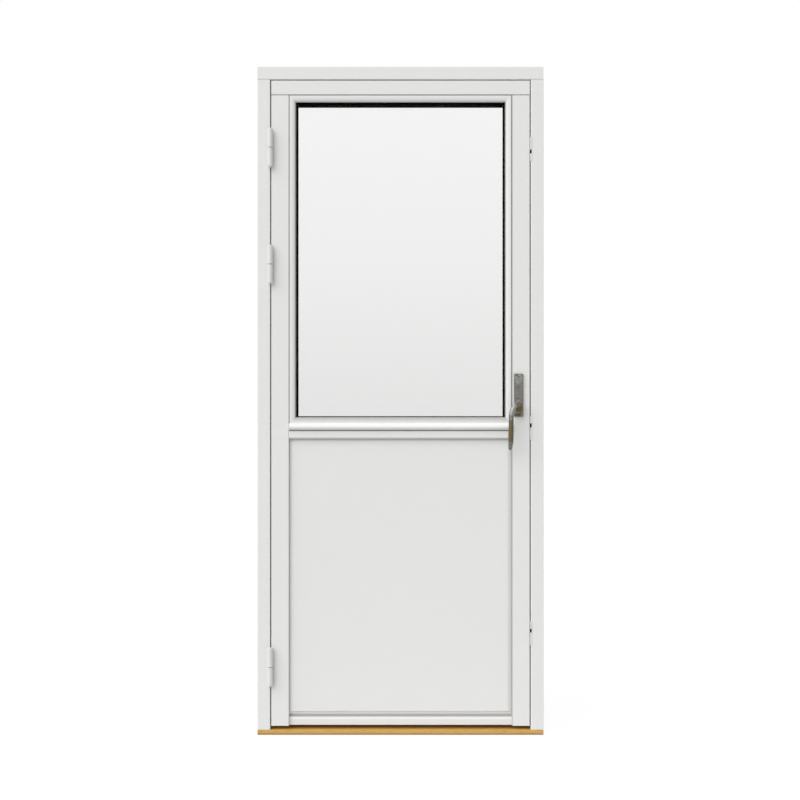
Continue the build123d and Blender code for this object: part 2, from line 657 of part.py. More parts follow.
def hinge_half(z, up, x_low):
    """A knuckle and its plate. The plate is cut back beside the other half's knuckle."""
    z_joint = z + up * (WASHER_T / 2 + 0.1)
    barrel = knuckle(z_joint, up)
    near = LEAF_FRONT if up > 0 else ROOM_Y
    xs = (x_low, x_low + HINGE_PLATE_T)
    plate = block(xs, (near, HINGE_PLATE_END), (z - PLATE_HALF, z + PLATE_HALF))
    plate = fillet(plate.edges().filter_by(Axis.X).group_by(Axis.Y)[-1], 6)
    web = block(xs, (HINGE_Y + 6, near), sorted((z_joint + up, z + up * PLATE_HALF)))
    bore_r, depth = (PIN_R + RUN_FIT, PIN_L - PIN_LOW + 2) if up > 0 else (PIN_R, PIN_LOW)
    bore = bar((HINGE_X, HINGE_Y, z_joint - up), (0, 0, up), depth + 1, bore_r)
    return barrel + plate + web - bore


def hinge_frame_half(z):
    """Lower half with its plate in the jamb."""
    half = hinge_half(z, -1, -REBATE_X - HINGE_PLATE_T)
    return without(half, hinge_frame_screws())


def hinge_leaf_half(z):
    """Upper half with its plate on the leaf's edge. It lifts off the pin."""
    half = hinge_half(z, 1, -LEAF_X)
    return without(half, hinge_leaf_screws())


def hinge_pin(z):
    """Steel pin pressed into the lower knuckle, with a rounded top."""
    low = z - WASHER_T / 2 - 0.1 - PIN_LOW
    pin = bar((HINGE_X, HINGE_Y, low), (0, 0, 1), PIN_L, PIN_R)
    return fillet(pin.edges().group_by(Axis.Z)[-1], 2)


def hinge_washer(z):
    """Bearing washer on the pin, between the two knuckles."""
    low = z - WASHER_T / 2 - 0.1
    ring_face = Circle(WASHER_R) - Circle(PIN_R + RUN_FIT)
    return run_z(Pos(HINGE_X, HINGE_Y) * ring_face, low, low + WASHER_T)


# Lock


def cam_zs(place):
    """Height of a roller cam at rest and at the end of its travel."""
    way = 1 if place == "top" else -1
    return KEEP_ZS[place] - way * TRAVEL / 2, KEEP_ZS[place] + way * TRAVEL / 2


def slot_span(place, margin):
    """Lowest and highest point that a cam reaches in a slot, with a margin past its travel."""
    low, high = sorted(cam_zs(place))
    return low - margin, high + margin


def keep(place):
    """Keep: a pocket for the roller, open to the room at the rest height and lipped beyond it."""
    z = KEEP_ZS[place]
    body = block((KEEP_IN, KEEP_OUT), (KEEP_FRONT, KEEP_BACK), (z - KEEP_HALF, z + KEEP_HALF))
    body = fillet(body.edges().filter_by(Axis.Z).group_by(Axis.X)[0], 1.2)
    xs = (KEEP_IN - 1, KEEP_POCKET_X)
    pocket = block(xs, across_lock(KEEP_ROOM), slot_span(place, KEEP_ROOM))
    rest_z = cam_zs(place)[0]
    mouth = block(xs, (KEEP_FRONT - 1, LOCK_Y), (rest_z - KEEP_ROOM, rest_z + KEEP_ROOM))
    return without(body, [pocket, mouth] + keep_screws())


def faceplate():
    """Steel strip along the leaf's edge, with a slot for each roller cam."""
    height = FACEPLATE_TOP - FACEPLATE_LOW
    strip = Pos(LOCK_Y, (FACEPLATE_LOW + FACEPLATE_TOP) / 2) * RectangleRounded(FACEPLATE_W, height, 3)
    strip = run_x(strip, FACEPLATE_IN, FACEPLATE_OUT)
    xs = (FACEPLATE_IN - 1, FACEPLATE_OUT + 1)
    slots = [block(xs, across_lock(CAM_R + 0.6), slot_span(place, CAM_R + 1)) for place in KEEP_ZS]
    return without(strip, slots + faceplate_screws())


def cam(place):
    """Roller cam riveted to its rod, which reaches through the faceplate."""
    length = CAM_TIP - ROD_OUT
    half = Polyline(
        (0, 0), (CAM_R, 0), (CAM_R, length - 0.8), (CAM_R - 0.8, length), (0, length), (0, 0)
    )
    roller = revolve(Plane.XZ * make_face(half), Axis.Z)
    return Plane((ROD_OUT, LOCK_Y, cam_zs(place)[0]), z_dir=(1, 0, 0)) * roller


def rack_teeth(x_pitch, way, z_low, z_high):
    """Toothed strip whose teeth point along way in X, between two heights."""
    pitch = GEAR_MODULE * pi
    lean = tan(radians(PRESSURE_ANGLE))
    tip, root = GEAR_MODULE, 1.25 * GEAR_MODULE
    half = pitch / 4 - BACKLASH / 2
    root_x, tip_x, back_x = x_pitch - way * root, x_pitch + way * tip, x_pitch - way * (root + RACK_BACK)
    points = [(back_x, z_low), (root_x, z_low)]
    first = int((z_low - HUB_Z) / pitch) - 1
    last = int((z_high - HUB_Z) / pitch) + 1
    for number in range(first, last):
        z = HUB_Z + (number + 0.5) * pitch
        if z - pitch / 2 >= z_low and z + pitch / 2 <= z_high:
            points += [
                (root_x, z - half - root * lean), (tip_x, z - half + tip * lean),
                (tip_x, z + half - tip * lean), (root_x, z + half + root * lean),
            ]
    points += [(root_x, z_high), (back_x, z_high), (back_x, z_low)]
    return run_y(make_face(Polyline(*points)), *across_lock(GEAR_W / 2))


def rod(z_low, z_high):
    """Flat drive rod behind the faceplate."""
    return block((ROD_IN, ROD_OUT), across_lock(ROD_W / 2), (z_low, z_high))


def stem(x_low, z_low, z_high):
    """Plain strip that carries a rack on, as thick as the rack's back."""
    return block((x_low, x_low + RACK_BACK), across_lock(GEAR_W / 2), (z_low, z_high))


def arm(x_from, z_low, z_high):
    """Cross arm from a rack out to its rod."""
    return block((x_from, ROD_OUT), across_lock(GEAR_W / 2), (z_low, z_high))


def upper_rod():
    """Rod that rises when the lever is raised, with its rack on the inner side of the pinion."""
    back_x = HUB_X - PITCH_R - 1.25 * GEAR_MODULE - RACK_BACK
    rack_low, rack_top, arm_low, arm_top = [HUB_Z + rise for rise in (-24, 8, 44, 52)]
    rack = rack_teeth(HUB_X - PITCH_R, 1, rack_low, rack_top)
    return rack + stem(back_x, rack_top, arm_top) + arm(back_x, arm_low, arm_top) + rod(arm_low, ROD_TOP)


def lower_rod():
    """Rod that drops when the lever is raised, with its rack on the outer side of the pinion."""
    root_x = HUB_X + PITCH_R + 1.25 * GEAR_MODULE
    arm_low, arm_top, rack_low, rack_top = [HUB_Z + rise for rise in (-35, -27, -8, 24)]
    rack = rack_teeth(HUB_X + PITCH_R, -1, rack_low, rack_top)
    return rack + stem(root_x, arm_low, rack_low) + arm(root_x, arm_low, arm_top) + rod(ROD_LOW, arm_top)


def involute(base_r, radius):
    """Angle by which an involute has turned at a radius."""
    roll = sqrt((radius / base_r) ** 2 - 1)
    return roll - atan(roll)


def at_angle(radius, angle):
    """Point in the wheel's plane at a radius and an angle."""
    return (radius * cos(angle), radius * sin(angle))


def pinion():
    """Pinion with involute teeth, journals on both faces and a square hole for the spindle."""
    base_r = PITCH_R * cos(radians(PRESSURE_ANGLE))
    root_r, tip_r = PITCH_R - 1.25 * GEAR_MODULE, PITCH_R + GEAR_MODULE
    half_tooth = pi / (2 * GEAR_TEETH) - BACKLASH / (2 * PITCH_R)
    foot = half_tooth + involute(base_r, PITCH_R)
    radii = [base_r, (base_r + PITCH_R) / 2, PITCH_R, (PITCH_R + tip_r) / 2, tip_r]
    turns = [foot - involute(base_r, r) for r in radii]
    edges = []
    for tooth in range(GEAR_TEETH):
        middle = 2 * pi * tooth / GEAR_TEETH
        low = [at_angle(r, middle - turn) for r, turn in zip(radii, turns)]
        high = [at_angle(r, middle + turn) for r, turn in zip(radii, turns)]
        root_low, root_high = at_angle(root_r, middle - foot), at_angle(root_r, middle + foot)
        following = at_angle(root_r, middle + 2 * pi / GEAR_TEETH - foot)
        edges += [
            Line(root_low, low[0]), Spline(*low), Line(low[-1], high[-1]), Spline(*reversed(high)),
            Line(high[0], root_high), Line(root_high, following),
        ]
    wheel = run_y(make_face(edges), *across_lock(GEAR_W / 2))
    wheel += bar((0, LOCK_Y - CASE_HALF, 0), (0, 1, 0), 2 * CASE_HALF, HUB_JOURNAL_R)
    wheel -= run_y(Rectangle(SPINDLE + 0.1, SPINDLE + 0.1), *across_lock(CASE_HALF + 1))
    return Pos(HUB_X, 0, HUB_Z) * wheel


def gear_case():
    """Open tray of the gear case, with a slot on the rods' side and a bearing in its back."""
    front, back = LOCK_Y - CASE_HALF + CASE_WALL, LOCK_Y + CASE_HALF
    shell = block((CASE_IN, CASE_OUT), (front, back), (CASE_LOW, CASE_TOP))
    inside_xs = (CASE_IN + CASE_WALL, CASE_OUT - CASE_WALL)
    inside_zs = (CASE_LOW + CASE_WALL, CASE_TOP - CASE_WALL)
    hollow = block(inside_xs, (front, back - CASE_WALL), inside_zs)
    slot = block((CASE_OUT - 2, CASE_OUT + 1), across_lock(GEAR_W / 2 + 0.6), (CASE_LOW + 4, CASE_TOP - 3))
    bearing = bar((HUB_X, LOCK_Y, HUB_Z), (0, 1, 0), 20, HUB_JOURNAL_R + RUN_FIT)
    return without(shell, [hollow, slot, bearing] + case_rivets())


def gear_case_cover():
    """Flat cover of the gear case, with the other bearing."""
    front = LOCK_Y - CASE_HALF
    plate = block((CASE_IN, CASE_OUT), (front, front + CASE_WALL), (CASE_LOW, CASE_TOP))
    bearing = bar((HUB_X, LOCK_Y - 20, HUB_Z), (0, 1, 0), 20, HUB_JOURNAL_R + RUN_FIT)
    return without(plate, [bearing] + case_rivets())


# Handle


def handle_plate():
    """Cast handle plate with softened edges and the lever's bearing."""
    face = Pos(HUB_X, (PLATE_LOW + PLATE_TOP) / 2) * RectangleRounded(PLATE_W, PLATE_TOP - PLATE_LOW, 3)
    plate = run_y(face, PLATE_FRONT, LEAF_FRONT)
    plate = fillet(plate.edges().group_by(Axis.Y)[0], 2.5)
    bearing = bar((HUB_X, PLATE_FRONT - 1, HUB_Z), (0, 1, 0), PLATE_T + 2, JOURNAL_R + RUN_FIT)
    return without(plate, [bearing] + handle_plate_screws())


def spindle():
    """Square steel spindle from the lever's boss through the pinion."""
    face = Pos(HUB_X, HUB_Z) * Rectangle(SPINDLE, SPINDLE)
    return run_y(face, PLATE_FRONT - 12, LOCK_Y + CASE_HALF)


def lever_section(place, way, half_x, half_y):
    """Ellipse square to the lever's path, its first axis kept level with the door's face."""
    plane = Plane(place, x_dir=(-way[2], 0, way[0]), z_dir=way)
    return plane * Ellipse(half_x, half_y)


def lever():
    """Cast gooseneck lever: journal, domed boss, arched neck and a flattened oval grip."""
    boss_y = PLATE_FRONT - 0.3
    half = FilletPolyline(
        (0, 0), (BOSS_R, 0), (BOSS_R, 10), (8, BOSS_L), (0, BOSS_L), radius=[0.8, 5, 4], close=False
    )
    half += Line((0, BOSS_L), (0, 0))
    turned = revolve(Plane.XZ * make_face(half), Axis.Z)
    boss = Plane((HUB_X, boss_y, HUB_Z), z_dir=(0, -1, 0)) * turned
    journal = bar((HUB_X, LEAF_FRONT - 0.5, HUB_Z), (0, -1, 0), PLATE_T, JOURNAL_R)
    neck = loft([
        lever_section((HUB_X, boss_y - 8, HUB_Z + 1), (-0.25, -0.95, 0.15), 8.8, 8.8),
        lever_section((HUB_X - 4.5, boss_y - 22, HUB_Z + 4), (-0.5, -0.8, 0.2), 8.5, 8.5),
        lever_section((HUB_X - 13.5, boss_y - 33, HUB_Z + 2.5), (-0.75, -0.45, -0.5), 8.0, 8.4),
        lever_section((HUB_X - 22, GRIP_Y + 1.5, HUB_Z - 10), (-0.4, -0.12, -0.9), 7.7, 8.6),
        lever_section((GRIP_X + 0.4, GRIP_Y, HUB_Z - 34), (0, 0, -1), 7.7, 9.0),
        lever_section((GRIP_X, GRIP_Y, HUB_Z - 72), (0, 0.02, -1), 8.1, 9.6),
        lever_section((GRIP_X - 0.4, GRIP_Y + 2, HUB_Z - 106), (-0.04, 0.06, -1), 7.6, 9.0),
        lever_section((GRIP_X - 1.8, GRIP_Y + 4.4, GRIP_LOW + 9), (-0.12, 0.1, -1), 6.0, 7.4),
        lever_section((GRIP_X - 3.0, GRIP_Y + 5.4, GRIP_LOW), (-0.12, 0.1, -1), 3.2, 4.2),
    ])
    hole = Pos(HUB_X, HUB_Z) * Rectangle(SPINDLE + 0.1, SPINDLE + 0.1)
    return boss + journal + neck - run_y(hole, PLATE_FRONT - 12, LEAF_FRONT)


os.makedirs("parts", exist_ok=True)

write("frame_head", head())
write("hinge_jamb", hinge_jamb())
write("lock_jamb", lock_jamb())
write("threshold", threshold())
write("frame_screws", *frame_screws())
write("fixing_sleeves", *fixing_sleeves())
write("frame_seals", *frame_seals())

for place, z in HINGE_ZS.items():
    write(f"{place}_hinge_frame_half", hinge_frame_half(z))
    write(f"{place}_hinge_leaf_half", hinge_leaf_half(z))
write("hinge_pins", *[hinge_pin(z) for z in HINGE_ZS.values()])
write("hinge_washers", *[hinge_washer(z) for z in HINGE_ZS.values()])
write("hinge_frame_screws", *hinge_frame_screws())
write("hinge_leaf_screws", *hinge_leaf_screws())

for place in KEEP_ZS:
    write(f"{place}_keep", keep(place))
write("keep_screws", *keep_screws())

write("hinge_stile", hinge_stile())
write("lock_stile", lock_stile())
write("top_rail", top_rail())
write("mid_rail", mid_rail())
write("bottom_rail", bottom_rail())
write("leaf_dowels", *leaf_dowels())
write("panel_front_board", panel_front_board())
write("panel_insulation", panel_layer(RECESS_Y + BOARD_T, LIP_Y - BOARD_T))
write("panel_back_board", panel_layer(LIP_Y - BOARD_T, LIP_Y))
write("drip_bar", drip_bar())
write("drip_bar_screws", *drip_bar_screws())

write("left_bead", mirror(side_bead(), about=Plane.YZ))
write("right_bead", side_bead())
write("top_bead", top_bead())
write("bottom_bead", bottom_bead())
for index, side in enumerate(("outer", "middle", "inner")):
    write(f"{side}_pane", pane(index))
write("glass_spacers", *spacers())
write("glass_edge_seals", *edge_seals())
write("glazing_tapes", *glazing_tapes())
write("setting_blocks", *setting_blocks())

write("faceplate", faceplate())
write("faceplate_screws", *faceplate_screws())
write("gear_case", gear_case())
write("gear_case_cover", gear_case_cover())
write("case_rivets", *case_rivets())
write("pinion", pinion())
write("upper_rod", upper_rod())
write("upper_rod_cam", cam("top"))
write("lower_rod", lower_rod())
write("lower_rod_cams", cam("middle"), cam("bottom"))

write("handle_plate", handle_plate())
write("handle_plate_screws", *handle_plate_screws())
write("spindle", spindle())
write("lever", lever())
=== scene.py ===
from math import radians

import bmesh
import bpy
from mathutils import Matrix, Vector


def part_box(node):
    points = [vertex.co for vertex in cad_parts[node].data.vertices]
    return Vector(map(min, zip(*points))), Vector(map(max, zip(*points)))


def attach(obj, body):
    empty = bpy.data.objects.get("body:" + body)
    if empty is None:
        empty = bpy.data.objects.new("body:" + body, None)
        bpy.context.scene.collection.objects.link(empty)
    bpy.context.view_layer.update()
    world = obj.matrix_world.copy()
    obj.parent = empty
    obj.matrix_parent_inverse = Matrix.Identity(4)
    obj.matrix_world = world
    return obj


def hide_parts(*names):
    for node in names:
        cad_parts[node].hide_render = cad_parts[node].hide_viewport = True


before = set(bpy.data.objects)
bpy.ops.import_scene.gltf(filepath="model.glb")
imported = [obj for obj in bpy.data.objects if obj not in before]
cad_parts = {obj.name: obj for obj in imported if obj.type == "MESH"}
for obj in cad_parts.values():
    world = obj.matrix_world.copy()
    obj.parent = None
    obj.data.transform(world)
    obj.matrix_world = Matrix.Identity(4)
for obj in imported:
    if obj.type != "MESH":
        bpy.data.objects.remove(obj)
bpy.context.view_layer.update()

# Threshold: one length of oiled oak across the opening, with a rounded nosing towards the room.
# Its growth rings run along the length, so they show as arcs on the sawn ends.
# The frame's jambs stand on it and are screwed to it from below.


class Value:
    """A socket of a shader node. Arithmetic on it adds the Math nodes that it needs."""

    def __init__(self, finish, socket):
        self.finish = finish
        self.socket = socket

    def maths(self, operation, first, second=0.0):
        return self.finish.add("ShaderNodeMath", {"operation": operation}, {0: first, 1: second})

    def __add__(self, other):
        return self.maths("ADD", self, other)

    def __radd__(self, other):
        return self.maths("ADD", other, self)

    def __sub__(self, other):
        return self.maths("SUBTRACT", self, other)

    def __rsub__(self, other):
        return self.maths("SUBTRACT", other, self)

    def __mul__(self, other):
        return self.maths("MULTIPLY", self, other)

    def __rmul__(self, other):
        return self.maths("MULTIPLY", other, self)

    def __gt__(self, other):
        return self.maths("GREATER_THAN", self, other)

    def __abs__(self):
        return self.maths("ABSOLUTE", self)


class Finish:
    """The node tree of a material or of the sky, built one node at a time."""

    NOISE_ROUGHNESS, RAGGED_SPOTS = 0.55, 500

    def __init__(self, owner):
        owner.use_nodes = True
        self.owner = owner
        self.tree = owner.node_tree
        self.tree.nodes.clear()

    def add(self, kind, settings, sockets, output=0):
        """A node: its settings come first, then the values or links of its sockets."""
        node = self.tree.nodes.new(kind)
        for name, setting in settings.items():
            if name == "stops":
                elements = node.color_ramp.elements
                for number, (position, colour) in enumerate(setting):
                    element = elements[number] if number < 2 else elements.new(position)
                    element.position = position
                    element.color = colour
            else:
                setattr(node, name, setting)
        for name, value in sockets.items():
            if isinstance(value, Value):
                self.tree.links.new(value.socket, node.inputs[name])
            else:
                node.inputs[name].default_value = value
        return Value(self, node.outputs[output]) if node.outputs else None

    def place(self, stretch, centre=(0, 0, 0)):
        """Object coordinates, moved to a centre and stretched along each axis."""
        point = self.add("ShaderNodeTexCoord", {}, {}, "Object")
        return self.add("ShaderNodeMapping", {"vector_type": "POINT"},
                        {"Vector": point, "Location": centre, "Scale": stretch})

    def along(self, axis):
        """The Object coordinate along one axis, in metres."""
        point = self.add("ShaderNodeTexCoord", {}, {}, "Object")
        return self.add("ShaderNodeSeparateXYZ", {}, {0: point}, axis)

    def noise(self, spots, detail, stretch=(1, 1, 1)):
        """Soft noise from 0 to 1, with about that many spots in a metre."""
        return self.add("ShaderNodeTexNoise", {}, {
            "Vector": self.place(stretch), "Scale": spots, "Detail": detail,
            "Roughness": self.NOISE_ROUGHNESS})

    def faded(self, value, start, end, first, last):
        """Goes from a first to a last number while a value goes from its start to its end."""
        return self.add("ShaderNodeMapRange", {}, {
            "Value": value, "From Min": start, "From Max": end, "To Min": first, "To Max": last})

    def near(self, axis, place, full, reach):
        """1 within a full distance of a place along an axis, falling to 0 at the reach."""
        return self.faded(abs(self.along(axis) - place), full, reach, 1.0, 0.0)

    def patch(self, centre, half, ragged=0.5):
        """1 inside a ragged ellipse seen from the room, given by its centre and half widths."""
        (x, z), (half_x, half_z) = centre, half
        spot = self.place((1 / half_x, 0, 1 / half_z), (-x / half_x, 0, -z / half_z))
        length = self.add("ShaderNodeVectorMath", {"operation": "LENGTH"}, {0: spot}, "Value")
        return 1 - (length + (self.noise(self.RAGGED_SPOTS, 2) - 0.5) * ragged > 1.0)

    def mixed(self, share, first, second):
        """One colour turning into another."""
        return self.add("ShaderNodeMix", {"data_type": "RGBA"}, {0: share, 6: first, 7: second}, 2)

    def relief(self, height, depth):
        """A surface's direction over a relief of a depth in metres."""
        return self.add("ShaderNodeBump", {}, {"Height": height, "Distance": depth, "Strength": 1.0})

    def surface(self, height, depth, sockets):
        """The finished material, with its relief and the values of its shader."""
        shader = self.add("ShaderNodeBsdfPrincipled", {}, {
            "Normal": self.relief(height, depth), **sockets})
        self.add("ShaderNodeOutputMaterial", {}, {"Surface": shader})
        return self.owner


def dress(material, slot, *names):
    """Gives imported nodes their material."""
    for name in names:
        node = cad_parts[name]
        node.data.materials.clear()
        node.data.materials.append(material)


OAK_LIGHT, OAK_DARK = (0.67, 0.405, 0.095, 1), (0.50, 0.27, 0.062, 1)
OAK_PORE, OAK_FOOT_SHADE = (0.26, 0.13, 0.035, 1), (0.34, 0.25, 0.14, 1)
OAK_PITH, OAK_RINGS = (0.0, -0.03, 0.12), 70.0
RING_DRIFT_Y, RING_DRIFT_Z = 0.03, 0.02
DRIFT_SPOTS, FIBRE_SPOTS, PORE_SPOTS = 1.6, 420, 1100
PORE_SHARE, OAK_RELIEF = 0.66, 0.0002
SHADED_FOOT = ("Z", 0.0, 0.0060, 0.0085)

oak = Finish(bpy.data.materials.new("oiled_oak"))
wander = oak.noise(DRIFT_SPOTS, 2, (0.8, 6, 6))
drift = oak.add("ShaderNodeCombineXYZ", {}, {
    "X": 0.0, "Y": wander * RING_DRIFT_Y, "Z": wander * RING_DRIFT_Z})
log = oak.add("ShaderNodeVectorMath", {"operation": "ADD"}, {
    0: oak.place((0.05, 1, 1), OAK_PITH), 1: drift})
rings = oak.add("ShaderNodeTexWave", {
    "wave_type": "RINGS", "rings_direction": "X", "wave_profile": "SAW"}, {
    "Vector": log, "Scale": OAK_RINGS, "Distortion": 2.0, "Detail": 2.0, "Detail Scale": 1.5})
fibres = oak.noise(FIBRE_SPOTS, 3, (0.05, 1, 1))
pores = oak.noise(PORE_SPOTS, 1, (0.035, 1, 1)) > PORE_SHARE
oak_tone = oak.mixed(rings * 0.55 + fibres * 0.35, OAK_LIGHT, OAK_DARK)
# Painted shade: the oak is darker and greyer over its lowest few millimetres, where the front's chamfer
# faces down.
oak_tone = oak.mixed(oak.near(*SHADED_FOOT) * 0.5, oak_tone, OAK_FOOT_SHADE)
oak_material = oak.surface(1 - pores * 0.8 - fibres * 0.3, OAK_RELIEF, {
    "Base Color": oak.mixed(pores * 0.6, oak_tone, OAK_PORE),
    "Roughness": 0.42 + fibres * 0.16})
dress(oak_material, "oak", "threshold")

# Frame: two jambs and a head of pine, machined with a stop all round and painted white.
# The head lies over the jambs. The paint is sprayed, and the grain just shows in its relief.
# Upright pieces have their grain upright, and the head has it level.

PAINT, PAINT_SHADE = (0.76, 0.76, 0.75, 1), (0.735, 0.734, 0.722, 1)
# The lighter white is painted light, and the dark grey is painted shade.
PAINT_LIT, CREASE_SHADE = (0.87, 0.87, 0.86, 1), (0.30, 0.295, 0.28, 1)
UPRIGHT, LEVEL = (1, 1, 0.03), (0.03, 1, 1)
GRAIN_SPOTS, BRUSH_SPOTS, WEAR_SPOTS = 260, 1500, 5
PAINT_RELIEF, PAINT_SHINE = 0.00012, 0.4
FACE_Y, INSIDE_Y, LIT_EDGE = -0.0535, 0.010, 0.002


def painted(name, grain_way, lit_rebates, *shade_and_dust, highlights=()):
    """White paint on pine, painted whiter inside the rebates as painted light, with painted shade in
    its joints and grooves and painted highlights along lines.

    A line is given by its axis, place, width in full and reach. A shade line has its strength as well."""
    paint = Finish(bpy.data.materials.new(name))
    grain = paint.noise(GRAIN_SPOTS, 4, grain_way)
    brush = paint.noise(BRUSH_SPOTS, 2, grain_way)
    wear = paint.noise(WEAR_SPOTS, 3)
    colour = paint.mixed(wear * 0.7 + grain * 0.3, PAINT, PAINT_SHADE)
    # Painted light: the rebates are painted whiter, which lifts the shade in the gaps.
    if lit_rebates:
        half = (INSIDE_Y - FACE_Y) / 2
        inside = paint.near("Y", FACE_Y + half, half - LIT_EDGE, half)
        colour = paint.mixed(inside, colour, PAINT_LIT)
    # Painted highlights along the given lines.
    for line in highlights:
        colour = paint.mixed(paint.near(*line), colour, PAINT_LIT)
    # Painted shade along the given lines: in joints, in grooves and under edges.
    for *line, strength in shade_and_dust:
        colour = paint.mixed(paint.near(*line) * strength, colour, CREASE_SHADE)
    return paint.surface(grain * 0.6 + brush * 0.4, PAINT_RELIEF, {
        "Base Color": colour,
        "Roughness": 0.36 + wear * 0.1 + brush * 0.08,
        "Specular IOR Level": PAINT_SHINE})


# The jambs get painted shade along the head's joint. Jambs and head are painted whiter inside their
# rebates as painted light.
HEAD_JOINT = ("Z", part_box("hinge_jamb")[1].z, 0.0004, 0.003, 0.35)
dress(painted("paint_jambs", UPRIGHT, True, HEAD_JOINT), "painted_timber", "hinge_jamb", "lock_jamb")
dress(painted("paint_head", LEVEL, True), "painted_timber", "frame_head")

# Frame screws: long zinc-plated screws that pull the frame's corners together, four from above
# and four from below. They are bright steel with a faint yellow cast, and their heads are sunk
# flush with the timber.

METAL_SPECKS, METAL_CLOUDS, METAL_RELIEF = 420, 35, 0.00004


def metal(name, colour, worn, rough):
    """Plated or bare metal with fine speckle and slightly uneven polish."""
    plate = Finish(bpy.data.materials.new(name))
    specks = plate.noise(METAL_SPECKS, 3)
    cloud = plate.noise(METAL_CLOUDS, 2)
    return plate.surface(specks, METAL_RELIEF, {
        "Base Color": plate.mixed(cloud * 0.6 + specks * 0.4, colour, worn),
        "Metallic": 1.0,
        "Roughness": rough + cloud * 0.08 + specks * 0.06})


ZINC, ZINC_DULL = (0.56, 0.55, 0.52, 1), (0.40, 0.40, 0.38, 1)
zinc_material = metal("zinc_plated_steel", ZINC, ZINC_DULL, rough=0.3)
dress(zinc_material, "zinc_steel", "frame_screws")

# Wall-fixing sleeves: threaded steel tubes across each jamb, turned from the rebate side with a
# hexagon key to set the frame straight on the wall.
# They are yellow-passivated, and a fine thread runs along them.

PASSIVATED, PASSIVATED_DULL = (0.60, 0.50, 0.30, 1), (0.44, 0.36, 0.22, 1)
THREAD_TURNS, THREAD_RELIEF, BLOTCH_SPOTS = 100.0, 0.0005, 90

sleeve = Finish(bpy.data.materials.new("passivated_steel"))
thread = sleeve.add("ShaderNodeTexWave", {"bands_direction": "X"}, {
    "Vector": sleeve.place((1, 1, 1)), "Scale": THREAD_TURNS})
blotch = sleeve.noise(BLOTCH_SPOTS, 3)
sleeve_material = sleeve.surface(thread, THREAD_RELIEF, {
    "Base Color": sleeve.mixed(blotch, PASSIVATED, PASSIVATED_DULL),
    "Metallic": 1.0,
    "Roughness": 0.3 + blotch * 0.15})
dress(sleeve_material, "zinc_steel", "fixing_sleeves")

# Seals: hollow bulbs of soft rubber, pushed by their stems into kerfs in the frame's stops.
# They are extruded in long lengths and pale grey, and the leaf presses on their faces.

RUBBER, RUBBER_DUSTY = (0.62, 0.62, 0.61, 1), (0.54, 0.54, 0.53, 1)
SOFT_GRAIN, SOFT_DUST, SOFT_RELIEF = 700, 22, 0.00008


def soft(name, colour, shade_and_dust, rough, depth=SOFT_RELIEF, shine=0.5):
    """Matt rubber, tape, plastic or foam with fine grain and a little dust."""
    matt = Finish(bpy.data.materials.new(name))
    grain = matt.noise(SOFT_GRAIN, 3)
    return matt.surface(grain, depth, {
        "Base Color": matt.mixed(matt.noise(SOFT_DUST, 3), colour, shade_and_dust),
        "Roughness": rough + grain * 0.12,
        "Specular IOR Level": shine})


dress(soft("seal_rubber", RUBBER, RUBBER_DUSTY, rough=0.62), "seal_rubber", "frame_seals")

# Hinges: three lift-off hinges of painted steel. The lower half is let into the jamb, and the
# upper half into the leaf's edge, with a knuckle that drops over the pin.
# Their enamel is smoother and a little brighter than the timber's paint.

ENAMEL, ENAMEL_SCUFFED, ENAMEL_RELIEF = (0.72, 0.72, 0.71, 1), (0.66, 0.66, 0.645, 1), 0.00003
SCUFF_SPOTS, SPRAY_SPOTS = 60, 330
PLACES = ("top", "middle", "bottom")

enamel = Finish(bpy.data.materials.new("white_enamel"))
scuffs = enamel.noise(SCUFF_SPOTS, 4, (1, 1, 0.2))
enamel_material = enamel.surface(enamel.noise(SPRAY_SPOTS, 2), ENAMEL_RELIEF, {
    "Base Color": enamel.mixed(scuffs, ENAMEL, ENAMEL_SCUFFED),
    "Roughness": 0.24 + scuffs * 0.12,
    "Coat Weight": 0.15 + scuffs * 0.1})
dress(enamel_material, "painted_steel", *[f"{place}_hinge_{half}_half" for place in PLACES
                                          for half in ("frame", "leaf")])

# Hinge pins: hard steel, pressed into the lower knuckles. They carry the leaf's upper knuckles
# and are greased, so they shine when the leaf is lifted off.

PIN_STEEL, PIN_DULL = (0.50, 0.49, 0.47, 1), (0.34, 0.33, 0.31, 1)
dress(metal("greased_steel", PIN_STEEL, PIN_DULL, rough=0.2), "zinc_steel", "hinge_pins")

# Hinge washers: bearing rings on the pins, which show as a thin grey line between the knuckles.
# They are brass that has been tinned, and it shows through where the ring is rubbed.

TINNED, TINNED_RUBBED = (0.40, 0.395, 0.37, 1), (0.30, 0.285, 0.24, 1)
dress(metal("tinned_brass", TINNED, TINNED_RUBBED, rough=0.5), "brass", "hinge_washers")

# Hinge screws: eight plated countersunk screws in each hinge, four into the jamb and four into
# the leaf's edge, flush with the plates. Each head has a tapered cross recess for the driver.

SCREW_SHANK, SCREW_HEAD, SCREW_POINT = 0.002, 0.004, 0.05
HEAD_SIDES, CROSS_REACH, CROSS_TAPER, CROSS_DEPTH = 24, 0.55, 0.5, 0.6
SAME_PLACE = 1e-7


